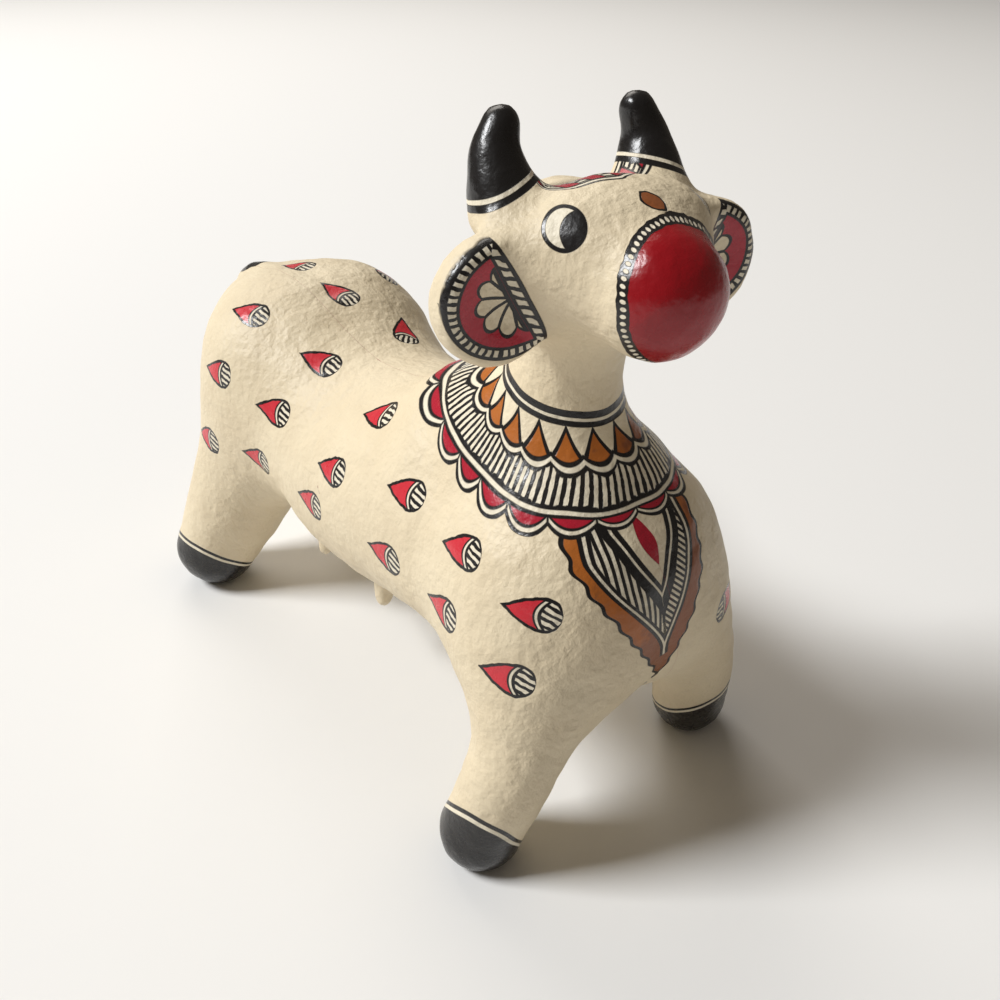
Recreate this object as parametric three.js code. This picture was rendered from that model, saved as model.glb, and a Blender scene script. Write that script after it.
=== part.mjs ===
// Papier-mache cow figurine: body, legs, neck, head, horns, ears, tail and teats moulded as one piece.
// Millimetres, +Z up. The cow looks towards -Y and its own right side is -X.
// The origin is on the ground under the middle of the figure.

import * as THREE from "three";

// Driving dimension
const FIGURE_HEIGHT = 188; // from the hoof bottoms to the horn tips

// The whole figure is one free form, so its places and radii are per cent of its height.
// They are counted from the ground point midway between the front hooves.
const share = (percent) => (percent * FIGURE_HEIGHT) / 100;
const ball = (x, y, z, radius) => ({ x: share(x), y: share(y), z: share(z), radius: share(radius) });

// Each limb is a row of balls joined by a smooth skin. Paired limbs are given on the left side.
const TORSO = [
  ball(0, 88.6, 46.4, 13.1), // rump
  ball(0, 76, 44.1, 16), // hips
  ball(0, 53.2, 35.5, 18.5), // sagging middle
  ball(0, 26.8, 38.7, 18.7), // shoulders
  ball(0, 6.2, 36.8, 17.5), // breast
];
const HIND_LEG = [
  ball(8.4, 77.5, 47.6, 10.2), // thigh, inside the hips
  ball(14.2, 82.1, 25.2, 10.3), // hock
  ball(22.4, 86.6, 7.1, 7.7), // hoof
];
const FRONT_LEG = [
  ball(7.8, 3.1, 38.5, 10.4), // shoulder, inside the breast
  ball(16.8, -2.5, 21.7, 6.7), // knee
  ball(21.9, 0.2, 4.8, 6), // hoof
];
const NECK = [
  ball(0, 8.4, 48.6, 12), // root
  ball(0, 10.1, 63.4, 7.1), // narrowest place
  ball(0, 7.7, 78.3, 7.4), // throat
];
const WITHERS = [
  ball(0, 23, 51, 13.6), // hump
  ball(0, 10.3, 63, 5.6), // nape
];
const HEAD = [
  ball(0, 12.5, 82.6, 8.2), // poll
  ball(0, 0.5, 83.8, 8.2), // face
  ball(-0.3, -7.5, 83.4, 7.25), // muzzle
];
const BROW = [
  ball(0, 1, 86.4, 6.5), // between the eyes
  ball(5.3, 1, 86.4, 6.2), // over the eye
];
const HORN = [
  ball(9.6, 8.6, 89.8, 4.5), // root
  ball(10.1, 10.6, 94.7, 3), // middle
  ball(9.1, 11.1, 97.85, 2.15), // tip
];
const TAIL = [
  ball(-1.2, 87.5, 57.8, 1.6), // root, sunk in the rump
  ball(-2.2, 94.8, 56.8, 2.2),
  ball(-2.4, 100.3, 51.8, 2.2),
  ball(-2, 102, 44.5, 2),
  ball(-1.4, 98.9, 36.5, 2.1),
  ball(-0.8, 92.9, 29.8, 2.7), // tuft, resting on the rump
];
const TEATS = [
  [ball(8.3, 44.5, 19.8, 2.3), ball(9.2, 44.8, 13.1, 1.6)], // front pair
  [ball(9.4, 62.2, 21.4, 2.1), ball(10.2, 63, 14.2, 1.4)], // rear pair
];
const EAR = {
  centre: ball(14.5, 3.4, 81.5, 0),
  across: share(7.1), // half width seen from the front
  tall: share(7.4), // half height seen from the front
  thick: share(2.4), // half thickness
  rim: share(1.4), // rounding of the edge
  dishRadius: share(12.9), // sphere that hollows the front face
  dishDepth: share(0.8),
};
const TORSO_WIDENING = 1.1; // the torso and the head are a little wider than tall
const HEAD_WIDENING = 1.04;
const HEAD_TURN = THREE.MathUtils.degToRad(9.3); // towards the cow's right
const HEAD_PIVOT = { x: 0, y: share(8.6) };

// How far each limb's skin flows into the one that carries it
const HIND_LEG_FLOW = share(11.8);
const FRONT_LEG_FLOW = share(10.7);
const NECK_FLOW = share(12.1);
const WITHERS_FLOW = share(5.5);
const HEAD_FLOW = share(4.8);
const BROW_FLOW = share(4.3);
const EAR_FLOW = share(4.8);
const HORN_FLOW = share(3.2);
const TAIL_FLOW = share(2);
const TEAT_FLOW = share(1.6);
const DISH_FLOW = share(0.8);

// Fineness of the faceted skin
const STEPS_PER_SPAN = 4; // straight pieces between two balls of a limb
const CELL = share(1.2); // grid that the skin is first traced on
const TRIANGLE_GOAL = 8200; // left after the flat places are thinned out
const FLAT_SNAP = share(0.12); // skin this near the ground lies on it
const LONG_EDGE_COST = 2e-4; // keeps the triangles of flat places even

// A limb as straight tapered pieces along a Catmull-Rom curve through its balls
function limb(balls, widening = 1) {
  const first = balls[0];
  const second = balls[1];
  const last = balls[balls.length - 1];
  const beforeLast = balls[balls.length - 2];
  const mirrored = (end, inner) => ({
    x: 2 * end.x - inner.x,
    y: 2 * end.y - inner.y,
    z: 2 * end.z - inner.z,
    radius: 2 * end.radius - inner.radius,
  });
  const row = [mirrored(first, second), ...balls, mirrored(last, beforeLast)];
  const along = (span, key, t) => {
    const [p0, p1, p2, p3] = row.slice(span, span + 4).map((one) => one[key]);
    const bend = 2 * p0 - 5 * p1 + 4 * p2 - p3;
    const twist = -p0 + 3 * p1 - 3 * p2 + p3;
    return 0.5 * (2 * p1 + (p2 - p0) * t + bend * t * t + twist * t * t * t);
  };
  const knots = [];
  for (let span = 0; span < balls.length - 1; span++) {
    for (let step = 0; step < STEPS_PER_SPAN; step++) {
      const t = step / STEPS_PER_SPAN;
      const [x, y, z, radius] = ["x", "y", "z", "radius"].map((key) => along(span, key, t));
      knots.push({ x, y, z, radius });
    }
  }
  knots.push(last);
  const pieces = [];
  for (let i = 0; i + 1 < knots.length; i++) {
    const a = knots[i];
    const b = knots[i + 1];
    const dx = (b.x - a.x) / widening;
    const dy = b.y - a.y;
    const dz = b.z - a.z;
    const perLength = 1 / (dx * dx + dy * dy + dz * dz);
    pieces.push({ a, dx, dy, dz, perLength, growth: b.radius - a.radius });
  }
  return { pieces, widening };
}

// Distance from a point to a limb's skin, below zero inside
function limbDistance(shape, x, y, z) {
  let nearest = Infinity;
  for (const { a, dx, dy, dz, perLength, growth } of shape.pieces) {
    const qx = (x - a.x) / shape.widening;
    const qy = y - a.y;
    const qz = z - a.z;
    const t = Math.min(1, Math.max(0, (qx * dx + qy * dy + qz * dz) * perLength));
    const rx = qx - t * dx;
    const ry = qy - t * dy;
    const rz = qz - t * dz;
    const distance = Math.sqrt(rx * rx + ry * ry + rz * rz) - a.radius - t * growth;
    if (distance < nearest) {
      nearest = distance;
    }
  }
  return nearest;
}

// The lesser of two distances, with a fillet of the given flow where they are nearly equal
function join(a, b, flow) {
  const h = Math.min(1, Math.max(0, 0.5 + (0.5 * (b - a)) / flow));
  return b + (a - b) * h - flow * h * (1 - h);
}

// An ear is an upright disc with a rounded edge and a shallow dish in its front face
function earDistance(x, y, z) {
  const qx = x - EAR.centre.x;
  const qy = y - EAR.centre.y;
  const qz = z - EAR.centre.z;
  const across = EAR.across - EAR.rim;
  const tall = EAR.tall - EAR.rim;
  const reach = Math.hypot(qx / across, qz / tall);
  const slope = Math.max(Math.hypot(qx / across ** 2, qz / tall ** 2), 1e-9);
  const outside = (reach * (reach - 1)) / slope;
  const proud = Math.abs(qy) - (EAR.thick - EAR.rim);
  const inner = Math.min(Math.max(outside, proud), 0);
  const disc = inner + Math.hypot(Math.max(outside, 0), Math.max(proud, 0)) - EAR.rim;
  const dishCentre = -(EAR.dishRadius + EAR.thick - EAR.dishDepth);
  const dish = EAR.dishRadius - Math.hypot(qx, qy - dishCentre, qz);
  return -join(-disc, -dish, DISH_FLOW);
}

const torso = limb(TORSO, TORSO_WIDENING);
const hindLeg = limb(HIND_LEG);
const frontLeg = limb(FRONT_LEG);
const neck = limb(NECK);
const withers = limb(WITHERS);
const head = limb(HEAD, HEAD_WIDENING);
const brow = limb(BROW);
const horn = limb(HORN);
const tail = limb(TAIL);
const teats = TEATS.map((balls) => limb(balls));
const turnCos = Math.cos(HEAD_TURN);
const turnSin = Math.sin(HEAD_TURN);

// Distance from a point to the head with its ears and horns, in the head's own turned frame
function headDistance(x, y, z) {
  const fromPivot = y - HEAD_PIVOT.y;
  const hx = x * turnCos - fromPivot * turnSin + HEAD_PIVOT.x;
  const hy = x * turnSin + fromPivot * turnCos + HEAD_PIVOT.y;
  const side = Math.abs(hx);
  let distance = limbDistance(head, hx, hy, z);
  distance = join(distance, limbDistance(brow, side, hy, z), BROW_FLOW);
  distance = join(distance, earDistance(side, hy, z), EAR_FLOW);
  return join(distance, limbDistance(horn, side, hy, z), HORN_FLOW);
}

// Distance from a point to the skin of the whole cow
function cowDistance(x, y, z) {
  const side = Math.abs(x);
  let distance = limbDistance(torso, x, y, z);
  distance = join(distance, limbDistance(hindLeg, side, y, z), HIND_LEG_FLOW);
  distance = join(distance, limbDistance(frontLeg, side, y, z), FRONT_LEG_FLOW);
  distance = join(distance, limbDistance(neck, x, y, z), NECK_FLOW);
  distance = join(distance, limbDistance(withers, x, y, z), WITHERS_FLOW);
  distance = join(distance, headDistance(x, y, z), HEAD_FLOW);
  distance = join(distance, limbDistance(tail, x, y, z), TAIL_FLOW);
  for (const teat of teats) {
    distance = join(distance, limbDistance(teat, side, y, z), TEAT_FLOW);
  }
  return distance;
}

// Distances on a grid that reaches past the skin; blocks far from the skin only get their sign
function sampleGrid(distance, low, high, cell) {
  const count = [0, 1, 2].map((axis) => Math.ceil((high[axis] - low[axis]) / cell) + 1);
  const [nx, ny, nz] = count;
  const values = new Float32Array(nx * ny * nz);
  const block = 6;
  const blockReach = block * cell;
  for (let k0 = 0; k0 < nz; k0 += block) {
    for (let j0 = 0; j0 < ny; j0 += block) {
      for (let i0 = 0; i0 < nx; i0 += block) {
        const middle = [i0, j0, k0].map((start, axis) => low[axis] + (start + block / 2) * cell);
        const atMiddle = distance(...middle);
        const isFar = Math.abs(atMiddle) > blockReach;
        for (let k = k0; k < Math.min(nz, k0 + block); k++) {
          for (let j = j0; j < Math.min(ny, j0 + block); j++) {
            for (let i = i0; i < Math.min(nx, i0 + block); i++) {
              const here = [low[0] + i * cell, low[1] + j * cell, low[2] + k * cell];
              values[(k * ny + j) * nx + i] = isFar ? atMiddle : distance(...here);
            }
          }
        }
      }
    }
  }
  return { values, nx, ny, nz, low, cell };
}

// Six tetrahedra that fill a grid cell, all wound the same way; the bits of a corner are its x, y and z
const TETRAHEDRA = [
  [0, 1, 3, 7],
  [0, 5, 1, 7],
  [0, 3, 2, 7],
  [0, 2, 6, 7],
  [0, 4, 5, 7],
  [0, 6, 4, 7],
];

// Marching tetrahedra: the skin as triangles whose points lie on the edges of the tetrahedra
function traceSkin({ values, nx, ny, nz, low, cell }) {
  const step = (corner) => (corner & 1) + ((corner >> 1) & 1) * nx + ((corner >> 2) & 1) * nx * ny;
  const steps = [0, 1, 2, 3, 4, 5, 6, 7].map(step);
  const points = [];
  const triangles = [];
  const pointOfEdge = new Map();
  const edgePoint = (place, start, first, second) => {
    const from = Math.min(first, second);
    const to = Math.max(first, second);
    const key = (start + steps[from]) * 8 + (to - from);
    if (!pointOfEdge.has(key)) {
      const valueFrom = values[start + steps[from]];
      const valueTo = values[start + steps[to]];
      const t = Math.min(0.95, Math.max(0.05, valueFrom / (valueFrom - valueTo)));
      const at = place.map((index, axis) => {
        const fromBit = (from >> axis) & 1;
        const toBit = (to >> axis) & 1;
        return low[axis] + (index + fromBit + (toBit - fromBit) * t) * cell;
      });
      pointOfEdge.set(key, points.length);
      points.push(at);
    }
    return pointOfEdge.get(key);
  };
  const traceCell = (place, start) => {
    for (const corners of TETRAHEDRA) {
      const isInside = corners.map((corner) => values[start + steps[corner]] < 0);
      const inner = [0, 1, 2, 3].filter((slot) => isInside[slot]);
      const outer = [0, 1, 2, 3].filter((slot) => !isInside[slot]);
      if (inner.length === 0 || outer.length === 0) {
        continue;
      }
      const order = [...inner, ...outer];
      let swaps = 0;
      order.forEach((slot, index) => {
        swaps += order.slice(index + 1).filter((later) => later < slot).length;
      });
      if (swaps % 2 === 1) {
        const pair = inner.length === 3 ? 0 : 2;
        [order[pair], order[pair + 1]] = [order[pair + 1], order[pair]];
      }
      const [p, q, r, s] = order.map((slot) => corners[slot]);
      const on = (first, second) => edgePoint(place, start, first, second);
      if (inner.length === 1) {
        triangles.push([on(p, q), on(p, r), on(p, s)]);
      } else if (inner.length === 3) {
        triangles.push([on(s, p), on(s, q), on(s, r)]);
      } else {
        triangles.push([on(p, r), on(p, s), on(q, s)], [on(p, r), on(q, s), on(q, r)]);
      }
    }
  };
  for (let k = 0; k < nz - 1; k++) {
    for (let j = 0; j < ny - 1; j++) {
      for (let i = 0; i < nx - 1; i++) {
        const start = i + nx * (j + ny * k);
        const insideCorners = steps.filter((offset) => values[start + offset] < 0).length;
        if (insideCorners > 0 && insideCorners < 8) {
          traceCell([i, j, k], start);
        }
      }
    }
  }
  return { points, triangles };
}

// Moves the traced points onto the skin itself, and those under the ground up to it
function settle(points, distance) {
  const probe = CELL / 20;
  for (const p of points) {
    for (let round = 0; round < 2; round++) {
      const value = distance(...p);
      const slope = [0, 1, 2].map((axis) => {
        const ahead = [...p];
        ahead[axis] += probe;
        return (distance(...ahead) - value) / probe;
      });
      const steepness = slope[0] ** 2 + slope[1] ** 2 + slope[2] ** 2;
      for (let axis = 0; axis < 3; axis++) {
        p[axis] -= (value * slope[axis]) / steepness;
      }
    }
    p[2] = Math.max(p[2], 0);
  }
}

const minus = (a, b) => [a[0] - b[0], a[1] - b[1], a[2] - b[2]];
const dot = (a, b) => a[0] * b[0] + a[1] * b[1] + a[2] * b[2];
const cross = (a, b) => [a[1] * b[2] - a[2] * b[1], a[2] * b[0] - a[0] * b[2], a[0] * b[1] - a[1] * b[0]];
const spanned = (a, b, c) => cross(minus(b, a), minus(c, a));

// The point with the least summed squared distance to the planes in a quadric, kept near a middle point
function bestPoint(q, middle) {
  const pull = 0.002 * (q[0] + q[4] + q[7]) + 1e-12;
  const rows = [
    [q[0] + pull, q[1], q[2]],
    [q[1], q[4] + pull, q[5]],
    [q[2], q[5], q[7] + pull],
  ];
  const right = [pull * middle[0] - q[3], pull * middle[1] - q[6], pull * middle[2] - q[8]];
  const whole = dot(rows[0], cross(rows[1], rows[2]));
  return [0, 1, 2].map((axis) => {
    const swapped = rows.map((row, index) => {
      const copy = [...row];
      copy[axis] = right[index];
      return copy;
    });
    return dot(swapped[0], cross(swapped[1], swapped[2])) / whole;
  });
}

function quadricError(q, [x, y, z]) {
  const squares = q[0] * x * x + q[4] * y * y + q[7] * z * z + q[9];
  return squares + 2 * (q[1] * x * y + q[2] * x * z + q[5] * y * z + q[3] * x + q[6] * y + q[8] * z);
}

// Joins the ends of edges, those that bend the skin least first, until the goal is met
function thinOut(points, triangles, goal) {
  const around = points.map(() => new Set());
  const quadrics = points.map(() => new Float64Array(10));
  triangles.forEach((corners, index) => {
    const normal = spanned(...corners.map((corner) => points[corner]));
    const twiceArea = Math.hypot(...normal);
    if (twiceArea > 0) {
      const [a, b, c] = normal.map((part) => part / twiceArea);
      const d = -dot([a, b, c], points[corners[0]]);
      const plane = [a * a, a * b, a * c, a * d, b * b, b * c, b * d, c * c, c * d, d * d];
      for (const corner of corners) {
        plane.forEach((term, place) => {
          quadrics[corner][place] += term * twiceArea;
        });
      }
    }
    for (const corner of corners) {
      around[corner].add(index);
    }
  });
  const neighbours = (one) => {
    const found = new Set();
    for (const index of around[one]) {
      for (const corner of triangles[index]) {
        found.add(corner);
      }
    }
    found.delete(one);
    return found;
  };
  const wouldFold = (one, gone, place) => {
    for (const index of around[one]) {
      const corners = triangles[index];
      if (corners.includes(gone)) {
        continue;
      }
      const before = spanned(...corners.map((corner) => points[corner]));
      const after = spanned(...corners.map((corner) => (corner === one ? place : points[corner])));
      if (dot(before, after) < 0.4 * Math.hypot(...before) * Math.hypot(...after)) {
        return true;
      }
    }
    return false;
  };
  const weighed = (one, other) => {
    const q = quadrics[one].map((term, place) => term + quadrics[other][place]);
    const middle = points[one].map((value, axis) => (value + points[other][axis]) / 2);
    const place = bestPoint(q, middle);
    const gap = minus(points[one], points[other]);
    return { one, other, place, cost: quadricError(q, place) + LONG_EDGE_COST * dot(gap, gap) ** 2 };
  };
  let edges = [];
  points.forEach((_, one) => {
    for (const other of neighbours(one)) {
      if (one < other) {
        edges.push(weighed(one, other));
      }
    }
  });
  let left = triangles.length;
  let changed = new Set();
  do {
    edges.sort((first, second) => first.cost - second.cost);
    changed = new Set();
    const gone = new Set();
    const busy = new Set();
    for (const { one, other, place } of edges.slice(0, Math.ceil(edges.length / 5))) {
      if (left <= goal) {
        break;
      }
      if (busy.has(one) || busy.has(other)) {
        continue;
      }
      const nearOne = neighbours(one);
      const nearOther = neighbours(other);
      const shared = [...nearOne].filter((corner) => nearOther.has(corner));
      if (shared.length !== 2 || wouldFold(one, other, place) || wouldFold(other, one, place)) {
        continue;
      }
      points[one] = place;
      quadrics[one] = quadrics[one].map((term, index) => term + quadrics[other][index]);
      for (const index of around[other]) {
        if (triangles[index].includes(one)) {
          triangles[index].forEach((corner) => corner !== other && around[corner].delete(index));
          triangles[index] = null;
          left--;
          continue;
        }
        triangles[index] = triangles[index].map((corner) => (corner === other ? one : corner));
        around[one].add(index);
      }
      around[other].clear();
      changed.add(one);
      gone.add(other);
      [one, other, ...nearOne, ...nearOther].forEach((corner) => busy.add(corner));
    }
    const isStale = (corner) => changed.has(corner) || gone.has(corner);
    edges = edges.filter(({ one, other }) => !isStale(one) && !isStale(other));
    for (const one of changed) {
      for (const other of neighbours(one)) {
        if (!changed.has(other) || one < other) {
          edges.push(weighed(one, other));
        }
      }
    }
  } while (left > goal && changed.size > 0);
  return triangles.filter(Boolean);
}

// The closed faceted skin as a geometry, standing on the ground with its middle over the origin
function skinGeometry() {
  const balls = [TORSO, HIND_LEG, FRONT_LEG, NECK, WITHERS, HEAD, BROW, HORN, TAIL, ...TEATS].flat();
  const reach = (key, way) => Math.max(...balls.map((one) => way * one[key] + one.radius));
  const side = Math.max(reach("x", 1), reach("x", -1));
  const margin = 3 * CELL + HIND_LEG_FLOW / 4; // a fillet swells the skin by a quarter of its flow
  const low = [-side - margin, -reach("y", -1) - margin, -margin];
  const high = [side + margin, reach("y", 1) + margin, reach("z", 1) + margin];
  const { points, triangles } = traceSkin(sampleGrid(cowDistance, low, high, CELL));
  settle(points, cowDistance);
  const kept = thinOut(points, triangles, TRIANGLE_GOAL);
  const newIndex = new Map();
  const positions = [];
  const indices = [];
  for (const corners of kept) {
    for (const corner of corners) {
      if (!newIndex.has(corner)) {
        newIndex.set(corner, newIndex.size);
        const [x, y, z] = points[corner];
        positions.push(x, y, z < FLAT_SNAP ? 0 : z);
      }
      indices.push(newIndex.get(corner));
    }
  }
  const geometry = new THREE.BufferGeometry();
  geometry.setAttribute("position", new THREE.Float32BufferAttribute(positions, 3));
  geometry.setIndex(indices);
  geometry.computeBoundingBox();
  const { min, max } = geometry.boundingBox;
  geometry.translate(-(min.x + max.x) / 2, -(min.y + max.y) / 2, -min.z);
  geometry.computeVertexNormals();
  return geometry;
}

const paintedPulp = new THREE.MeshStandardMaterial({ color: 0xe6dcc3, roughness: 0.5, metalness: 0 });

const cow = new THREE.Mesh(skinGeometry(), paintedPulp);
cow.name = "papier_mache_cow";

const figurine = new THREE.Group();
figurine.add(cow);

export default figurine;
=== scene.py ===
import math

import bpy
import numpy as np
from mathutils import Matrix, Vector


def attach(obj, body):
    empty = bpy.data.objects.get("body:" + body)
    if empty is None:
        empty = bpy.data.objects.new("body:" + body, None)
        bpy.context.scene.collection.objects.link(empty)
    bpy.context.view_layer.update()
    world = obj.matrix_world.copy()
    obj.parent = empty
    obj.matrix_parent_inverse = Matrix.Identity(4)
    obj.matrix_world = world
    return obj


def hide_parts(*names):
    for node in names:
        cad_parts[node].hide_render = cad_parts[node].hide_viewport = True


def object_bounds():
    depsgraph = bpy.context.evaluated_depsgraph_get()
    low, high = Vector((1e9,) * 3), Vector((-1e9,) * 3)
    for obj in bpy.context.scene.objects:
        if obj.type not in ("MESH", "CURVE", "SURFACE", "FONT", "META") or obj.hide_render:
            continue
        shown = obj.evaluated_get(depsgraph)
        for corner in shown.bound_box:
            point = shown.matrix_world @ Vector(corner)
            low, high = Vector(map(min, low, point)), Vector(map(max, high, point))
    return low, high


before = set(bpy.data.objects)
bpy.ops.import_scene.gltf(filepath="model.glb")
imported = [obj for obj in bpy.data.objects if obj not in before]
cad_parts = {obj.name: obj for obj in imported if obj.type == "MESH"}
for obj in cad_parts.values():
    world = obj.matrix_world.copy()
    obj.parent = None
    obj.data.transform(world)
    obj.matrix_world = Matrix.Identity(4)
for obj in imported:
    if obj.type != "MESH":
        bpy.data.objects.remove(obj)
cad_low, cad_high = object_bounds()

# Figure space: millimetres of a cow 188 mm tall, counted from the ground between its front hooves.
# The cow looks towards -Y, its right side is -X and +Z is up.
FIGURE_HEIGHT = 188.0
HOOVES_TO_TAIL = 194.85  # from the middle of the front hooves to the rear of the tail
METRES = (cad_high[2] - cad_low[2]) / FIGURE_HEIGHT
FIGURE_ORIGIN = np.array([0.0, cad_high[1] - HOOVES_TO_TAIL * METRES, 0.0])
HEAD_TURN = math.radians(9.3)  # towards the cow's right
HEAD_PIVOT = 16.2  # distance of the head's turning axis behind the front hooves

# Skin
SKIN_GRID = 1.12  # spacing of the fine skin
SMOOTHING_ROUNDS = 18
SMOOTHING_STEPS = (0.5, -0.53)  # a pull, then a slightly larger push that keeps the volume
LUMP_SPACING = 11.0  # hand-pressed lumps of the pulp
LUMP_HEIGHT = 0.35
SMALL_LUMP_SPACING = LUMP_SPACING / 2.7
SMALL_LUMP_HEIGHT = 0.4 * LUMP_HEIGHT
FLAT_UP_TO = 0.5  # height of the hooves' flats, which have no lumps
LUMPS_FULL_AFTER = 4.0
WOBBLE_SPACING = 8.0  # unsteadiness of the brush
WOBBLE = 0.32

STEEP = 9.0  # a pattern ends where its value is pushed away at this slope


def to_metres(place):
    return Vector(FIGURE_ORIGIN + np.array(place, float) * METRES)


def unit(vectors):
    lengths = np.linalg.norm(vectors, axis=-1, keepdims=True)
    return vectors / np.maximum(lengths, 1e-9)


def noise(places, spacing, seed):
    """Smooth random values about 0, one per place, from a lattice of random numbers."""
    random = np.random.default_rng(seed)
    low = places.min(axis=0) - spacing
    count = np.ceil((places.max(axis=0) + 2 * spacing - low) / spacing).astype(int) + 1
    lattice = random.uniform(-1, 1, count)
    cell = (places - low) / spacing
    corner = np.floor(cell).astype(int)
    part = cell - corner
    part = part * part * (3 - 2 * part)
    total = np.zeros(len(places))
    for step in np.ndindex(2, 2, 2):
        weight = np.abs(1 - np.array(step) - part).prod(axis=1)
        total += weight * lattice[tuple((corner + step).T)]
    return total


def fine_skin(node, name):
    """The CAD solid again on an even fine grid."""
    piece = bpy.data.objects.new(name, node.data.copy())
    bpy.context.scene.collection.objects.link(piece)
    remesh = piece.modifiers.new("remesh", "REMESH")
    remesh.mode = "VOXEL"
    remesh.voxel_size = SKIN_GRID * METRES
    evaluated = piece.evaluated_get(bpy.context.evaluated_depsgraph_get())
    fine = bpy.data.meshes.new_from_object(evaluated)
    piece.modifiers.clear()
    piece.data = fine
    fine.name = name
    return piece


def vertex_places(mesh):
    places = np.empty(len(mesh.vertices) * 3)
    mesh.vertices.foreach_get("co", places)
    return places.reshape(-1, 3)


def vertex_normals(mesh):
    normals = np.empty(len(mesh.vertices) * 3, dtype=np.float32)
    mesh.vertex_normals.foreach_get("vector", normals)
    return normals.reshape(-1, 3).astype(float)


def edge_ends(mesh):
    ends = np.empty(len(mesh.edges) * 2, dtype=np.int32)
    mesh.edges.foreach_get("vertices", ends)
    return ends.reshape(-1, 2)


def neighbour_mean(values, edges):
    first, second = edges.T
    size = len(values)
    count = np.bincount(edges.ravel(), minlength=size)
    columns = []
    for column in values.T:
        total = np.bincount(first, column[second], size) + np.bincount(second, column[first], size)
        columns.append(total / count)
    return np.stack(columns, axis=1)


def smoothed(places, edges):
    """Evens out facets: each round pulls every vertex towards its neighbours, then pushes it back."""
    for _ in range(SMOOTHING_ROUNDS):
        for step in SMOOTHING_STEPS:
            places = places + step * (neighbour_mean(places, edges) - places)
    return places


def with_lumps(places, normals):
    lumps = LUMP_HEIGHT * noise(places, LUMP_SPACING, seed=3)
    lumps += SMALL_LUMP_HEIGHT * noise(places, SMALL_LUMP_SPACING, seed=4)
    off_ground = np.clip((places[:, 2] - FLAT_UP_TO) / LUMPS_FULL_AFTER, 0, 1)
    places = places + normals * (lumps * off_ground)[:, None]
    places[:, 2] = np.maximum(places[:, 2], 0)
    return places


cow = fine_skin(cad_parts["papier_mache_cow"], "painted_cow")
skin = cow.data
skin.vertices.foreach_set("co", smoothed(vertex_places(skin), edge_ends(skin)).ravel())
skin.update()
normals = vertex_normals(skin)
figure = with_lumps((vertex_places(skin) - FIGURE_ORIGIN) / METRES, normals)
skin.vertices.foreach_set("co", (figure * METRES + FIGURE_ORIGIN).ravel())
skin.update()
skin.shade_smooth()

# Paint coordinates, kept as attributes of the skin: a brush never quite follows them
brushed = figure + WOBBLE * np.stack([noise(figure, WOBBLE_SPACING, seed) for seed in (11, 12, 13)], axis=1)


def keep(name, values):
    attribute = skin.attributes.new(name, "FLOAT_VECTOR", "POINT")
    attribute.data.foreach_set("vector", np.ascontiguousarray(values, dtype=np.float32).ravel())


def past(value, limit):
    """0 up to the limit, then growing steeply."""
    return STEEP * np.maximum(value - limit, 0)


def short_of(value, limit):
    """0 from the limit upwards, and growing steeply under it."""
    return STEEP * np.maximum(limit - value, 0)


def in_head(places):
    x, y, z = places.T
    across = x * math.cos(HEAD_TURN) - (y - HEAD_PIVOT) * math.sin(HEAD_TURN)
    along = x * math.sin(HEAD_TURN) + (y - HEAD_PIVOT) * math.cos(HEAD_TURN)
    return np.stack([across, along + HEAD_PIVOT, z], axis=1)


head = in_head(brushed)
keep("figure", brushed)
keep("in_head", head)

# Heights of the collar's rings in front, at the front quarter, side, rear quarter and back
RING_TURNS = np.radians([0, 45, 90, 135, 180])
RINGS = {
    118.5: (119.3, 120.9, 124.3, 127.8, 130),  # under the neck line
    110.4: (110.1, 110.2, 113.6, 118.6, 122),  # under the triangles
    105.5: (102.5, 103.6, 106.3, 112.2, 116),  # pale line above the red scallops
    102.5: (100.0, 99.4, 100.5, 107.2, 112),  # outer edge
}
COLLAR_MIDDLE = 22.0  # distance behind the front hooves
COLLAR_REACH = 40.0  # the collar ends this far from the middle of the neck
COLLAR_FALL = 3.0
HEAD_BOTTOM = 130.0


def collar_level():
    """A height that is even along each ring of the collar."""
    x, y, z = brushed.T
    turn = np.arctan2(-x, COLLAR_MIDDLE - y)
    orders = range(len(RING_TURNS))
    waves = np.linalg.solve(np.cos(np.outer(RING_TURNS, orders)), np.array(list(RINGS.values())).T)
    heights = (np.cos(np.outer(turn, orders)) @ waves).T
    levels = list(RINGS)
    level = levels[-1] + np.minimum(z - heights[-1], 0)
    for upper, lower, high, low in zip(levels, levels[1:], heights, heights[1:]):
        level += (upper - lower) * np.clip((z - low) / (high - low), 0, 1)
    level += np.maximum(z - heights[0], 0)
    reach = np.hypot(x, y - COLLAR_MIDDLE)
    return level - COLLAR_FALL * np.maximum(reach - COLLAR_REACH, 0) * (z < HEAD_BOTTOM)


# The tail's middle line, from the root down to the tuft
TAIL_LINE = np.array([
    (-2.3, 164.5, 108.7), (-4.1, 178.2, 106.8), (-4.5, 188.6, 97.4),
    (-3.8, 191.8, 83.7), (-2.6, 186, 68.6), (-1.5, 174.7, 56),
])
TAIL_PAINT = 5.0  # the black paint reaches this far from the line
TAIL_START = 172.0


def tail_distance():
    nearest = np.full(len(brushed), np.inf)
    for start, end in zip(TAIL_LINE, TAIL_LINE[1:]):
        step = end - start
        part = np.clip((brushed - start) @ step / (step @ step), 0, 1)
        nearest = np.minimum(nearest, np.linalg.norm(brushed - start - part[:, None] * step, axis=1))
    return nearest + short_of(brushed[:, 1], TAIL_START)


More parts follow.
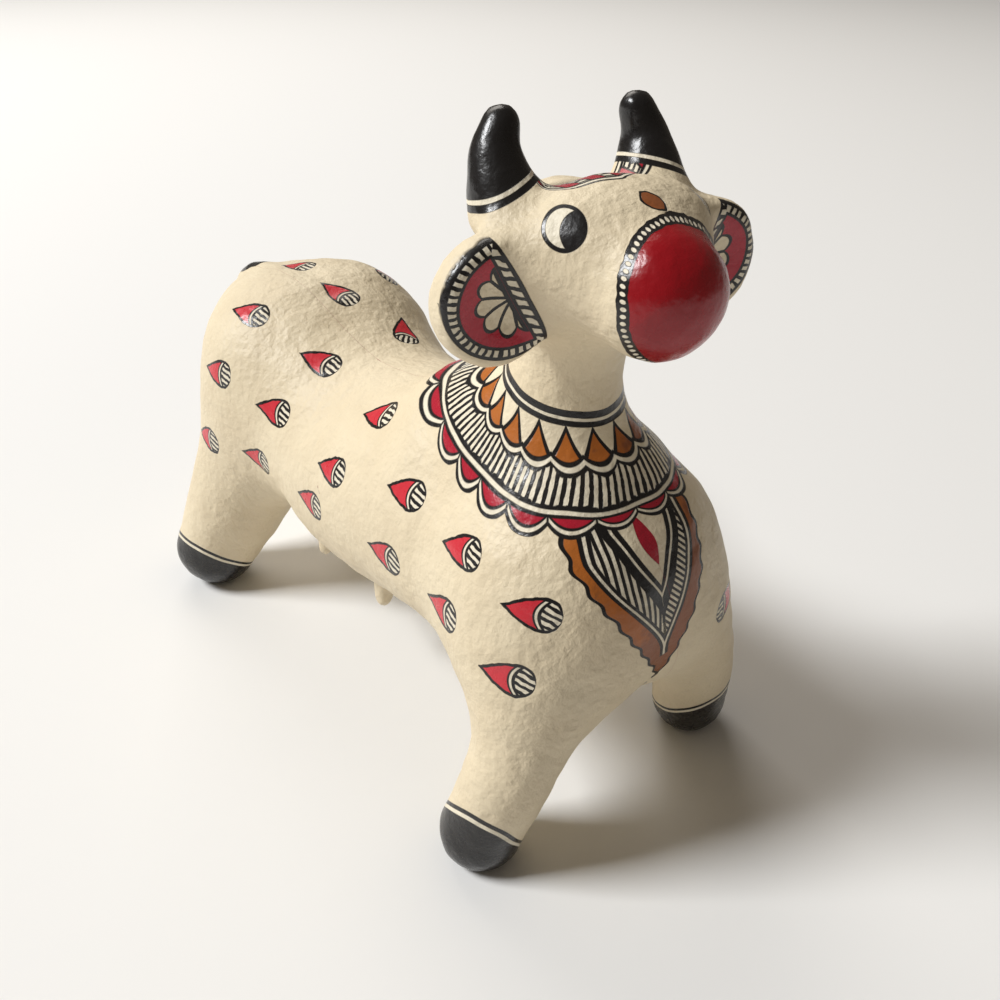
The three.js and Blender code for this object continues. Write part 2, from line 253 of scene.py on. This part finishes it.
# Hoof lines: height, how far out and back, and the rise outwards and to the rear
FRONT_RIGHT_HOOF = (24.8, 48.4, -5.5, 1.4, -0.45)
FRONT_LEFT_HOOF = (20.5, 32.9, -13.2, 0.3, -0.62)
HIND_HOOF = (21.4, 51.8, 152.7, 0.77, -0.08)
LEGS_APART = 75.0  # front legs are nearer than this, hind legs farther back
INNER_HOOF = 18.0  # no hoof is nearer to the middle plane
HOOF_TOP = 34.0


def above_hoof_line():
    x, y, z = brushed.T
    side = np.abs(x)

    def above_line(height, out, back, rise_out, rise_back):
        steep = math.sqrt(1 + rise_out ** 2 + rise_back ** 2)
        return (z - height - (side - out) * rise_out - (y - back) * rise_back) / steep

    front = np.where(x < 0, above_line(*FRONT_RIGHT_HOOF), above_line(*FRONT_LEFT_HOOF))
    level = np.where(y < LEGS_APART, front, above_line(*HIND_HOOF))
    return level + short_of(side, INNER_HOOF) + past(z, HOOF_TOP)


keep("levels", np.stack([collar_level(), tail_distance(), above_hoof_line()], axis=1))

# Pendant on the chest: heights of its lower tips and widest half widths
PENDANT_SIDE = -3.7  # where its middle line crosses the height below
PENDANT_SIDE_HEIGHT = 94.0
PENDANT_LEAN = 0.11
PENDANT_BACK = 12.0  # it stays in front of this
PENDANT_TUCK = 0.4  # its right side is drawn in over the same height
BORDER_TIP, BORDER_TOP, BORDER_WIDTH = 52.4, 99.0, 19.2
CLOTH_TIP, CLOTH_TOP, CLOTH_WIDTH = 67.5, 97.0, 14.5
CLOTH_BOTTOM = 64.0
FIELDS = ((77.8, 10.6), (82.5, 9.0), (85.2, 7.2))  # nested inside the cloth, from outer to inner
FIELD_TOP = 99.0


def leaf_width(z, tip, top, width, power):
    part = np.clip((z - tip) / (top - tip), 0, 1)
    return width * np.sin(part * math.pi / 2) ** power


def pendant_coordinates():
    """Across the pendant from its middle line, and the half widths of its border and of its cloth."""
    x, y, z = brushed.T
    across = x - PENDANT_SIDE - PENDANT_LEAN * (PENDANT_SIDE_HEIGHT - z)
    border = leaf_width(z, BORDER_TIP, BORDER_TOP, BORDER_WIDTH, 1.4)
    cloth = leaf_width(z, CLOTH_TIP, CLOTH_TOP, CLOTH_WIDTH, 1.5) - STEEP * (z < CLOTH_BOTTOM)
    tucked = PENDANT_TUCK * np.maximum(z - PENDANT_SIDE_HEIGHT, 0) * (across < 0)
    pulled_in = tucked + past(y, PENDANT_BACK)
    return np.stack([across, border - pulled_in, cloth - pulled_in], axis=1)


def field_width(tip, width):
    _, y, z = brushed.T
    part = np.clip((z - tip) / (FIELD_TOP - tip), 0, 1)
    bulged = part * (1 + 0.35 * part * (1 - part))
    return bulged * width - STEEP * (z < tip - 3) - past(y, PENDANT_BACK)


keep("pendant", pendant_coordinates())
keep("pendant_inside", np.stack([field_width(tip, width) for tip, width in FIELDS], axis=1))

# Ear: the painted field is round on top and cut off straight towards the cheek
EAR_OUT, EAR_HEIGHT = 24.5, 154.5  # middle of the round edge
EAR_HALF_WIDTH, EAR_HALF_HEIGHT = 15.5, 13.0
EAR_DEPTH = 14.0
EAR_CUT_OUT, EAR_CUT_HEIGHT = 28.1, 167.2  # a place on the straight edge
EAR_CUT_LEAN = (0.883, -0.467)
EAR_ROOT = 11.0  # the field starts this far from the middle plane
EAR_TIP, EAR_TIP_BACK = 40.0, 4.0  # the field stays in front of a slanting plane through here
EAR_RIM_SLANT = 0.24


def ear_coordinates():
    """Depth inside the round edge and inside the straight edge of the ear's painted field, and its side."""
    x, y, z = head.T
    side = np.abs(x)
    shell = np.hypot((side - EAR_OUT) / EAR_HALF_WIDTH, (z - EAR_HEIGHT) / EAR_HALF_HEIGHT)
    from_round = (1 - shell) * EAR_DEPTH
    from_straight = (side - EAR_CUT_OUT) * EAR_CUT_LEAN[0] + (z - EAR_CUT_HEIGHT) * EAR_CUT_LEAN[1]
    rim = EAR_TIP_BACK + (EAR_TIP - side) * EAR_RIM_SLANT
    outside = past(y, rim) + short_of(side, EAR_ROOT)
    return np.stack([from_round - outside, from_straight - outside, side], axis=1)


EYE_PLACE = (16.3, -4.3, 169.2)
LEFT_EYE_SHIFT = 6.5  # the left eye sits this much farther back, and a third of it lower
EYE_FORWARD = np.array([-0.80, -0.58, 0.13])
EYE_UP = np.array([-0.32, 0.46, 0.83])


def eye_coordinates():
    """Forward and up from the middle of the eye, and how far away it is."""
    x, y, z = head.T
    left = (x > 0) * LEFT_EYE_SHIFT
    side, front, height = EYE_PLACE
    away = np.stack([np.abs(x) - side, y - front - left, z - height + left / 3])
    return np.stack([EYE_FORWARD @ away, EYE_UP @ away, np.linalg.norm(away, axis=0)], axis=1)


# Band from horn to horn, and the painted edge of the horns
BAND_BACK = 4.8
BAND_BEND_LEFT, BAND_BEND_RIGHT = 0.72, 0.18
BAND_HOOK_START, BAND_HOOK = 10.0, 0.4
BAND_BOTTOM = 168.0
BAND_END = 15.5
HORN_OUT, HORN_BACK, HORN_EDGE = 12.0, 16.0, 175.9
HORN_FRONT, HORN_INNER, HORN_OUTER = 4.0, 8.0, 29.0


def poll_coordinates():
    """Off and along the band from horn to horn, and the height over the painted edge of the horns."""
    x, y, z = head.T
    side = np.abs(x)
    left, right = np.maximum(x, 0), np.maximum(-x, 0)
    middle = BAND_BACK + BAND_BEND_LEFT * left + BAND_BEND_RIGHT * right
    middle += BAND_HOOK * np.maximum(right - BAND_HOOK_START, 0) ** 2
    off = np.abs(y - middle) * 0.6 + short_of(z, BAND_BOTTOM) + past(side, BAND_END)
    along = 1.25 * left - 1.02 * right
    horn = z - HORN_EDGE + (side - HORN_OUT) * 0.38 + (y - HORN_BACK) * 0.2
    horn -= short_of(y, HORN_FRONT) + short_of(side, HORN_INNER) + past(side, HORN_OUTER)
    return np.stack([off, along, horn], axis=1)


# Muzzle and the mark on the forehead
MUZZLE_EDGE = -16.3  # distance of the red paint's edge behind the front hooves
MUZZLE_SLANT, MUZZLE_TURN = 0.33, 0.17
MUZZLE_TOP = 171.0
SLANT_END = 13.0
CHIN = 138.0
MARK_SIDE, MARK_BACK, MARK_BOTTOM = 0.8, -8.9, 165.0


def muzzle_coordinates():
    """Distance behind the edge of the red muzzle, and across and up for the mark on the forehead."""
    x, y, z = head.T
    slant = MUZZLE_SLANT * np.minimum(MUZZLE_TOP - z, SLANT_END) - MUZZLE_TURN * x
    rim = y - MUZZLE_EDGE + slant + short_of(z, CHIN)
    return np.stack([rim, x - MARK_SIDE, y - MARK_BACK + short_of(z, MARK_BOTTOM)], axis=1)


keep("ear", ear_coordinates())
keep("eye", eye_coordinates())
keep("poll", poll_coordinates())
keep("muzzle", muzzle_coordinates())

# Middles of the painted drops on the right side, from the rump to the chest
DROPS = [
    (1, 155, 115), (2, 129, 112), (14, 110, 102), (-26, 138, 110), (-17, 110, 100), (-21, 70, 100),
    (-39, 140, 92), (-33, 114, 87), (-35, 76, 84), (-32, 41, 92), (-34, 14, 90),
    (-43, 149, 65), (-37, 122, 68), (-39, 85, 70), (-38, 45, 73), (-39, 17, 73),
    (-31, -8, 84), (-38, -7, 67),
]
LEFT_CHEST_DROP = (27, -18, 65)
DROP_SPREAD = 14.0  # a mirrored drop nearer than this to one on the right is left out
DROP_SHIFT = 2.5  # mirrored drops are moved by up to this much
DROP_LEAN = 0.35  # how far the tips point outwards
LEFT_DROPS_START = 5.0
SEAT_REACH = 6.0  # the skin within this distance gives a drop its slope
NOWHERE = 99.0


def drop_middles():
    right = [np.array(middle, float) for middle in DROPS]
    random = np.random.default_rng(5)
    left = []
    for middle in right:
        mirrored = middle * (-1, 1, 1)
        if min(np.linalg.norm(mirrored - other) for other in right) > DROP_SPREAD and middle[1] > 0:
            left.append(mirrored + random.uniform(-DROP_SHIFT, DROP_SHIFT, 3) * (0, 1, 1))
    return np.array(right + left + [np.array(LEFT_CHEST_DROP, float)])


def drop_coordinates():
    """Along the nearest drop towards its tip, across it, and the distance from its middle."""
    nearest = np.full(len(figure), np.inf)
    coordinates = np.full((len(figure), 3), NOWHERE)
    for middle in drop_middles():
        seat = np.argmin(np.linalg.norm(figure - middle, axis=1))
        middle = figure[seat]
        around = np.linalg.norm(figure - middle, axis=1)
        normal = unit(normals[around < SEAT_REACH].mean(axis=0))
        outwards = -1.0 if middle[0] < LEFT_DROPS_START else 1.0
        tip = np.array([outwards * DROP_LEAN, 1.0, 0.0])
        tip = unit(tip - normal * (tip @ normal))
        across = np.cross(normal, tip)
        closer = around < nearest
        nearest[closer] = around[closer]
        rest = brushed[closer] - middle
        coordinates[closer] = np.stack([rest @ tip, rest @ across, around[closer]], axis=1)
    return coordinates


keep("drop", drop_coordinates())


# A small language for painting with formulas
class Value:
    """A number that varies over the surface, worked out by math nodes."""

    tree = None

    def __init__(self, socket):
        self.socket = socket

    @classmethod
    def of(cls, operation, *inputs):
        node = cls.tree.nodes.new("ShaderNodeMath")
        node.operation = operation
        for slot, value in enumerate(inputs):
            if isinstance(value, Value):
                cls.tree.links.new(value.socket, node.inputs[slot])
            else:
                node.inputs[slot].default_value = value
        return cls(node.outputs[0])

    def __add__(self, other):
        return Value.of("ADD", self, other)

    def __radd__(self, other):
        return Value.of("ADD", other, self)

    def __sub__(self, other):
        return Value.of("SUBTRACT", self, other)

    def __rsub__(self, other):
        return Value.of("SUBTRACT", other, self)

    def __mul__(self, other):
        return Value.of("MULTIPLY", self, other)

    def __truediv__(self, number):
        return Value.of("MULTIPLY", self, 1 / number)

    def __neg__(self):
        return Value.of("MULTIPLY", self, -1.0)

    def __abs__(self):
        return Value.of("ABSOLUTE", self)

    def __pow__(self, other):
        return Value.of("POWER", self, other)

    def __and__(self, other):
        return Value.of("MINIMUM", self, other)


def length(x, y):
    return Value.of("SQRT", x * x + y * y)


def fold(value):
    """0 at whole numbers, 1 halfway between them."""
    return Value.of("PINGPONG", value, 0.5) * 2.0


def folds_round(angle, count):
    """A value that folds so many times in a full turn."""
    return angle * (count / (2 * math.pi))


EDGE = 0.16  # softness of a painted edge
FINE_EDGE = 0.05
STROKE_EDGE = 0.15
THIN_STROKE_EDGE = 0.12


def ramp(value, slope, start):
    """start + slope * value, kept between 0 and 1."""
    result = Value.of("MULTIPLY_ADD", value, slope, start)
    result.socket.node.use_clamp = True
    return result


def above(value, limit, edge=EDGE):
    """1 where the value is over the limit, 0 under it, with a soft edge between."""
    if isinstance(limit, Value):
        return ramp(value - limit, 1 / edge, 0.5)
    return ramp(value, 1 / edge, 0.5 - limit / edge)


def below(value, limit, edge=EDGE):
    if isinstance(limit, Value):
        return ramp(value - limit, -1 / edge, 0.5)
    return ramp(value, -1 / edge, 0.5 + limit / edge)


def between(value, low, high, edge=EDGE):
    if isinstance(low, Value) or isinstance(high, Value):
        return above(value, low, edge) & below(value, high, edge)
    return below(abs(value - (low + high) / 2), (high - low) / 2, edge)


def attribute_vector(tree, name):
    source = tree.nodes.new("ShaderNodeAttribute")
    source.attribute_name = name
    return source.outputs["Vector"]


def attribute_parts(tree, name):
    split = tree.nodes.new("ShaderNodeSeparateXYZ")
    tree.links.new(attribute_vector(tree, name), split.inputs[0])
    return [Value(split.outputs[axis]) for axis in range(3)]


def texture_value(tree, name, scale, detail):
    texture = tree.nodes.new("ShaderNodeTexNoise")
    texture.inputs["Scale"].default_value = scale
    texture.inputs["Detail"].default_value = detail
    texture.label = name
    tree.links.new(attribute_vector(tree, "figure"), texture.inputs["Vector"])
    return Value(texture.outputs["Fac"])


# Paints, as linear colours
CREAM = (0.76, 0.66, 0.48)
WHITE = (0.76, 0.69, 0.54)
BLACK = (0.010, 0.009, 0.009)
DEEP_RED = (0.28, 0.003, 0.008)
BRIGHT_RED = (0.60, 0.030, 0.045)
COLLAR_RED = (0.40, 0.012, 0.030)
ORANGE = (0.42, 0.125, 0.020)
BROWN = (0.26, 0.080, 0.025)
GROUND_DARK = (0.65, 0.535, 0.36)
GROUND_PALE = (0.79, 0.685, 0.49)


def mixed(tree, first, second, share_of_second):
    """Shifts from one colour to another; a colour is a tuple or a socket."""
    mix = tree.nodes.new("ShaderNodeMix")
    mix.data_type = "RGBA"
    for slot, colour in (("A", first), ("B", second)):
        if isinstance(colour, tuple):
            mix.inputs[slot].default_value = (*colour, 1)
        else:
            tree.links.new(colour, mix.inputs[slot])
    tree.links.new(share_of_second.socket, mix.inputs["Factor"])
    return mix.outputs["Result"]


class Picture:
    """Coats of paint laid one over the other."""

    def __init__(self, tree, ground):
        self.tree = tree
        self.socket = ground

    def coat(self, colour, where):
        self.socket = mixed(self.tree, self.socket, colour, where)


# Collar, by its levels from the outer edge up to the neck
SCALLOP_COUNT = 16
HATCH_COUNT = 86
FRONT_CROWDING = 0.42  # scallops are narrower in front than behind
SCALLOP_EDGE, SCALLOP_TOP, SCALLOP_NOTCH = 102.35, 104.7, 1.9
SCALLOP_LINES = (-0.6, 0.1, 0.65, 1.1)  # where black, white, black and red start, inside the edge
PALE_LINE = (105.2, 105.8)
HATCH_START = 106.5
HEM, HEM_RISE = 111.9, 1.25
HEM_LINE = (-1.35, -0.65)
TRIANGLE_HEIGHT, TRIANGLE_TOP = 5.4, 117.8
TRIANGLE_INSIDE, TRIANGLE_OUTSIDE = 0.89, 1.16  # a black line runs between these
NECK_LINE = (119.0, 119.75)
COLLAR_TOP = 121.5


def paint_collar(picture, x, y, level, stroke):
    """From the outer edge inwards: red scallops, hatching, a scalloped row of triangles, neck lines."""
    angle = Value.of("ARCTAN2", -x, COLLAR_MIDDLE - y)
    turn = folds_round(angle, SCALLOP_COUNT) + Value.of("SINE", angle) * FRONT_CROWDING
    scallop = fold(turn - 0.15)
    outer = SCALLOP_EDGE + (1 - scallop) ** 2 * SCALLOP_NOTCH
    outline, white_line, inner_line, red = SCALLOP_LINES
    picture.coat(BLACK, between(level, outer + outline, COLLAR_TOP))
    picture.coat(WHITE, between(level, outer + white_line, SCALLOP_TOP) & above(scallop, 0.05, FINE_EDGE))
    picture.coat(BLACK, between(level, outer + inner_line, SCALLOP_TOP + 0.3))
    picture.coat(COLLAR_RED, between(level, outer + red, SCALLOP_TOP) & above(scallop, 0.14, 0.06))
    picture.coat(WHITE, between(level, *PALE_LINE))
    triangles = fold(turn + 0.37)
    hem = HEM + triangles * triangles * HEM_RISE
    strokes = fold(folds_round(angle, HATCH_COUNT) + level * 0.2)
    hatch = between(level, HATCH_START + stroke * 1.2, hem - 1.95 - stroke)
    picture.coat(WHITE, hatch & above(strokes, 0.5 + stroke * 0.5, THIN_STROKE_EDGE))
    picture.coat(WHITE, between(level, hem + HEM_LINE[0], hem + HEM_LINE[1]))
    flank = (level - hem) / TRIANGLE_HEIGHT + triangles * 1.22
    over_hem = above(level, hem + 0.1)
    # Painted shade: the orange triangles turn brown towards the cow's left side, away from the window
    # light, mixed with random brush tone.
    tone = mixed(picture.tree, ORANGE, BROWN, above(stroke + x * 0.03, 0.05, 0.25))
    picture.coat(tone, over_hem & below(flank, TRIANGLE_INSIDE, FINE_EDGE))
    between_triangles = above(flank, TRIANGLE_OUTSIDE, FINE_EDGE) & over_hem
    picture.coat(CREAM, below(level, TRIANGLE_TOP) & between_triangles)
    picture.coat(WHITE, between(level, *NECK_LINE))


# Pendant
PENDANT_TOP = 104.5  # it goes on under the collar up to this level
WAVE, WAVE_TURN = 0.45, 1.3  # height and spacing of the waves of the border's edge
BORDER_LINE = 0.9
CLOTH_GAP = 1.5  # black round the cloth
CLOTH_LINE = 0.4
STROKE_SPACING = 1.75
BROWN_UNDER = 81.0  # the border is brown under this height and orange over it
INNER_MIDDLE = (0.7, 84.0, 0.1)  # how far aside the inner fields are, at which height, and their lean
LEAF_MIDDLE = (1.4, 95.9)
LEAF_HALF_HEIGHT, LEAF_HALF_WIDTH = 5.6, 2.3


def paint_pendant(picture, across, border, cloth, inner, rim, field, z, level, stroke):
    """A leaf-shaped cloth under the collar, in nested outlines."""
    aside = abs(across)
    reach = below(level, PENDANT_TOP)
    wavy = border + Value.of("SINE", z * WAVE_TURN) * WAVE
    picture.coat(BLACK, reach & below(aside, wavy))
    tone = mixed(picture.tree, ORANGE, BROWN, below(z + stroke * 14 - across * 0.9, BROWN_UNDER, 5))
    picture.coat(tone, reach & below(aside, wavy - BORDER_LINE))
    picture.coat(BLACK, reach & below(aside, cloth + CLOTH_GAP))
    picture.coat(WHITE, reach & between(aside, cloth - CLOTH_LINE, cloth + CLOTH_LINE))
    shift, height, lean = INNER_MIDDLE
    inside = abs(across - shift - (z - height) * lean)
    left_lean = ramp(across, 1.0, 0.5) * 0.75 + 0.12
    strokes = fold((aside + z * left_lean) / STROKE_SPACING)
    hatch = reach & above(inside, inner + 0.5) & below(aside, cloth - 1.4)
    picture.coat(WHITE, hatch & above(strokes, 0.5, STROKE_EDGE))
    picture.coat(WHITE, reach & between(inside, rim - 0.65, rim + 0.05))
    picture.coat(CREAM, reach & below(inside, field - 0.3))
    leaf_side, leaf_height = LEAF_MIDDLE
    from_middle = abs(z - leaf_height) / LEAF_HALF_HEIGHT & 1.0
    leaf = (1 - from_middle ** 1.7) * LEAF_HALF_WIDTH
    picture.coat(COLLAR_RED, reach & below(abs(across - leaf_side + (z - leaf_height) * 0.12), leaf))


# Drop: how far its round end and its tip are from its middle
DROP_END, DROP_TIP = -7.0, 8.4
DROP_REACH = 8.25
DROP_WIDTH = 12.8
DROP_OUTLINE = 0.85
DROP_CURVE = 0.12  # bend of the pale line
DROP_LINE = (-1.3, -0.65)
DROP_RED = -0.1  # the red starts here and runs to the tip
DROP_STROKES = -2.1
DROP_STROKE_SPACING = 1.8


def paint_drops(picture, along, across, away, stroke):
    """A drop: red from the tip, a pale curved line, and a black round end with pale strokes."""
    drop_length = DROP_TIP - DROP_END
    part = ramp(along, 1 / drop_length, -DROP_END / drop_length)
    half_width = Value.of("SQRT", part) * (1 - part) ** 1.25 * DROP_WIDTH + stroke * 0.8
    width = abs(across)
    near = below(away, DROP_REACH, 0.3) & between(along, DROP_END + 0.05, DROP_TIP - 0.4)
    picture.coat(BLACK, near & below(width, half_width))
    body = below(width, half_width - DROP_OUTLINE) & near
    cut = along + across * across * DROP_CURVE
    picture.coat(BRIGHT_RED, body & above(cut, DROP_RED))
    picture.coat(WHITE, body & between(cut, *DROP_LINE))
    strokes = fold((across + along * 0.3 + stroke) / DROP_STROKE_SPACING)
    picture.coat(WHITE, body & below(cut, DROP_STROKES) & above(strokes, 0.5, STROKE_EDGE))


# Head
BAND_HALF_WIDTH = 3.3
BAND_LINE = (2.35, 2.85)
BAND_INSIDE = 1.8
SQUARE_SPACING = 5.4
HORN_PAINT = -1.9
HORN_LINE = (-0.5, 0.35)
MARK_RADIUS = 3.15
EYE_RADIUS = 4.55
EYE_REACH = 9.0  # keeps the eye off the far side of the head
WHITE_OF_EYE = 3.75
PUPIL_PLACE, PUPIL_RADIUS = (4.2, -1.3), 5.2  # the pupil is a disc that comes in from the front


def paint_head(picture, forward, up, eye_away, off, along, horn, mark_x, mark_y, stroke):
    """Band between the horns, horns, forehead mark and eyes."""
    picture.coat(BLACK, below(off, BAND_HALF_WIDTH))
    picture.coat(WHITE, between(off, *BAND_LINE))
    inside = below(off, BAND_INSIDE)
    squares = fold((along - 1.2) / SQUARE_SPACING)
    picture.coat(COLLAR_RED, inside & below(squares, 0.5, 0.1))
    marks = fold(off + 0.5)
    picture.coat(WHITE, inside & above(squares, 0.68, 0.1) & above(marks, 0.4, STROKE_EDGE))
    picture.coat(BLACK, above(horn, HORN_PAINT))
    picture.coat(WHITE, between(horn, *HORN_LINE))

    corner = length(mark_x, mark_y) + abs(mark_x + mark_y * 0.4) * 0.3
    picture.coat(BLACK, below(corner, MARK_RADIUS + stroke))
    picture.coat(BROWN, below(corner, MARK_RADIUS - 0.55 + stroke))

    outline = length(forward, up * 0.92)
    pupil = length(forward - PUPIL_PLACE[0], up - PUPIL_PLACE[1])
    picture.coat(BLACK, below(outline, EYE_RADIUS) & below(eye_away, EYE_REACH, 1))
    picture.coat(WHITE, below(outline, WHITE_OF_EYE) & above(pupil, PUPIL_RADIUS))


# Muzzle
BEAD_COUNT = 60
BEAD_LINE = 2.0  # distance of the beads from the edge of the red
BEAD_HALF_WIDTH = 0.72
BEADS_MIDDLE = 158.5  # height of the middle of the ring of beads


def paint_muzzle(picture, rim, x, z, stroke):
    """A red ball of a muzzle behind a rim of white beads."""
    picture.coat(BLACK, below(rim, 3.45 + stroke))
    angle = Value.of("ARCTAN2", z - BEADS_MIDDLE, x)
    beads = fold(folds_round(angle, BEAD_COUNT))
    dot = length((rim - BEAD_LINE) / BEAD_HALF_WIDTH, (1 - beads) * 1.5)
    picture.coat(WHITE, below(dot, 0.9, 0.25))
    picture.coat(DEEP_RED, below(rim, 0.75 + stroke * 0.8))


# Ear: depths inside its edge
EAR_BAND = (0.8, 2.3)
EAR_CRESCENT = 3.0
EAR_STROKES = 46
FAN_OUT, FAN_HEIGHT = 24.4, 154.6
FAN_REACH = 7.9
PETAL_ANGLE = 0.62


def paint_ears(picture, from_round, from_straight, side, z, stroke):
    """On the front of each ear: a band of strokes round a red crescent and a fan of petals."""
    depth = from_round & from_straight
    picture.coat(BLACK, above(depth, 0))
    around = Value.of("ARCTAN2", (z - EAR_HEIGHT) / EAR_HALF_HEIGHT, (side - EAR_OUT) / EAR_HALF_WIDTH)
    round_strokes = fold(folds_round(around, EAR_STROKES) + stroke * 0.6)
    straight_strokes = fold((side * 0.2 - z) / 2 + stroke * 0.6)
    on_round = below(from_round - from_straight, 0)
    band = between(depth, *EAR_BAND)
    picture.coat(WHITE, band & on_round & above(round_strokes, 0.45, THIN_STROKE_EDGE))
    picture.coat(WHITE, band & (1 - on_round) & above(straight_strokes, 0.45, THIN_STROKE_EDGE))
    inside = above(depth, EAR_CRESCENT)
    picture.coat(COLLAR_RED, inside)
    fan_x = side - FAN_OUT
    fan_z = z - FAN_HEIGHT
    reach = length(fan_x, fan_z)
    petals = fold((Value.of("ARCTAN2", fan_z, fan_x) + 0.20) / PETAL_ANGLE + 0.5)
    tip = FAN_REACH - (1 - petals) ** 2 * 1.8
    picture.coat(BLACK, inside & below(reach, tip + 0.8))
    picture.coat(CREAM, above(depth, EAR_CRESCENT + 0.9) & below(reach, tip) & above(petals * reach, 1.1))


# Surface
HOOF_EDGE = 0.6
HOOF_LINE = (-1.35, -0.4)
GRAIN_SCALE = 0.42
STROKE_SCALE = 0.45
PATCH_SCALE = 0.06
PAINTED_ROUGHNESS = 0.27
BARE_ROUGHNESS = 0.53


def painted_pulp():
    material = bpy.data.materials.new("painted pulp")
    material.use_nodes = True
    tree = material.node_tree
    Value.tree = tree
    shader = tree.nodes["Principled BSDF"]
    x, y, z = attribute_parts(tree, "figure")
    head_x, _, head_z = attribute_parts(tree, "in_head")
    level, tail, hoof = attribute_parts(tree, "levels")
    across, border, cloth = attribute_parts(tree, "pendant")
    from_round, from_straight, side = attribute_parts(tree, "ear")
    muzzle_rim, mark_x, mark_y = attribute_parts(tree, "muzzle")
    stroke = texture_value(tree, "stroke", STROKE_SCALE, 1.0) - 0.5

    patches = texture_value(tree, "patches", PATCH_SCALE, 5.0)
    picture = Picture(tree, mixed(tree, GROUND_DARK, GROUND_PALE, patches))
    paint_drops(picture, *attribute_parts(tree, "drop"), stroke)
    inner_fields = attribute_parts(tree, "pendant_inside")
    paint_pendant(picture, across, border, cloth, *inner_fields, z, level, stroke)
    paint_collar(picture, x, y, level, stroke)
    picture.coat(BLACK, below(hoof, HOOF_EDGE))
    picture.coat(WHITE, between(hoof, *HOOF_LINE))
    eye = attribute_parts(tree, "eye")
    paint_head(picture, *eye, *attribute_parts(tree, "poll"), mark_x, mark_y, stroke)
    paint_muzzle(picture, muzzle_rim, head_x, head_z, stroke)
    paint_ears(picture, from_round, from_straight, side, head_z, stroke)
    picture.coat(BLACK, below(tail, TAIL_PAINT))
    tree.links.new(picture.socket, shader.inputs["Base Color"])

    split = tree.nodes.new("ShaderNodeSeparateColor")
    tree.links.new(picture.socket, split.inputs["Color"])
    bare = ramp(Value(split.outputs["Green"]), 2.0, 0.0)
    roughness = PAINTED_ROUGHNESS + bare * (BARE_ROUGHNESS - PAINTED_ROUGHNESS) + stroke * 0.12
    tree.links.new(roughness.socket, shader.inputs["Roughness"])

    grain = texture_value(tree, "pulp grain", GRAIN_SCALE, 4.0)
    relief = grain * (bare * 0.45 + 0.25)
    bump = tree.nodes.new("ShaderNodeBump")
    bump.inputs["Strength"].default_value = 0.9
    bump.inputs["Distance"].default_value = METRES
    tree.links.new(relief.socket, bump.inputs["Height"])
    tree.links.new(bump.outputs["Normal"], shader.inputs["Normal"])
    return material


skin.materials.clear()
skin.materials.append(painted_pulp())

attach(cow, "root")
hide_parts("papier_mache_cow")

# Floor
FLOOR_REACH = 3.0  # metres
floor_mesh = bpy.data.meshes.new("floor")
floor_corners = [(x * FLOOR_REACH, y * FLOOR_REACH, 0) for x, y in ((-1, -1), (1, -1), (1, 1), (-1, 1))]
floor_mesh.from_pydata(floor_corners, [], [(0, 1, 2, 3)])
floor = bpy.data.objects.new("floor", floor_mesh)
bpy.context.scene.collection.objects.link(floor)
floor_material = bpy.data.materials.new("pale plaster")
floor_material.use_nodes = True
floor_shader = floor_material.node_tree.nodes["Principled BSDF"]
floor_shader.inputs["Base Color"].default_value = (0.82, 0.815, 0.80, 1)
floor_shader.inputs["Roughness"].default_value = 0.9
floor_mesh.materials.append(floor_material)

# Camera, fitted to the photograph
CAMERA_PLACE = (-145.06, -139.31, 226.81)
CAMERA_AZIMUTH = math.radians(38.5)
CAMERA_PITCH = math.radians(32.8)
FOCAL_LENGTH = 34.956  # millimetres for a sensor 36 mm wide
camera_data = bpy.data.cameras.new("camera")
camera_data.sensor_fit = "HORIZONTAL"
camera_data.sensor_width = 36.0
camera_data.lens = FOCAL_LENGTH
camera_data.clip_start = 0.01
camera = bpy.data.objects.new("camera", camera_data)
camera.location = to_metres(CAMERA_PLACE)
camera.rotation_euler = (math.pi / 2 - CAMERA_PITCH, 0, -CAMERA_AZIMUTH)
bpy.context.scene.collection.objects.link(camera)
bpy.context.scene.camera = camera

# Lights
LIGHT_AIM = Vector((0, 0, 0.06))


def area_light(name, place, size, power, colour):
    """A square lamp; place and size are in metres and power is in watts."""
    light = bpy.data.lights.new(name, "AREA")
    light.shape = "SQUARE"
    light.size = size
    light.energy = power
    light.color = colour
    lamp = bpy.data.objects.new(name, light)
    lamp.location = place
    lamp.rotation_euler = (LIGHT_AIM - Vector(place)).to_track_quat("-Z", "Y").to_euler()
    bpy.context.scene.collection.objects.link(lamp)


area_light("window", (-2.35, 1.5, 3.0), 1.3, 180, (0.98, 0.99, 1.0))
area_light("back", (0.7, 1.9, 1.9), 1.5, 22, (1.0, 0.95, 0.88))
world = bpy.data.worlds.new("studio")
bpy.context.scene.world = world
world.use_nodes = True
world.node_tree.nodes["Background"].inputs["Color"].default_value = (1.0, 0.86, 0.70, 1)
world.node_tree.nodes["Background"].inputs["Strength"].default_value = 0.13
bpy.context.scene.view_settings.view_transform = "Standard"
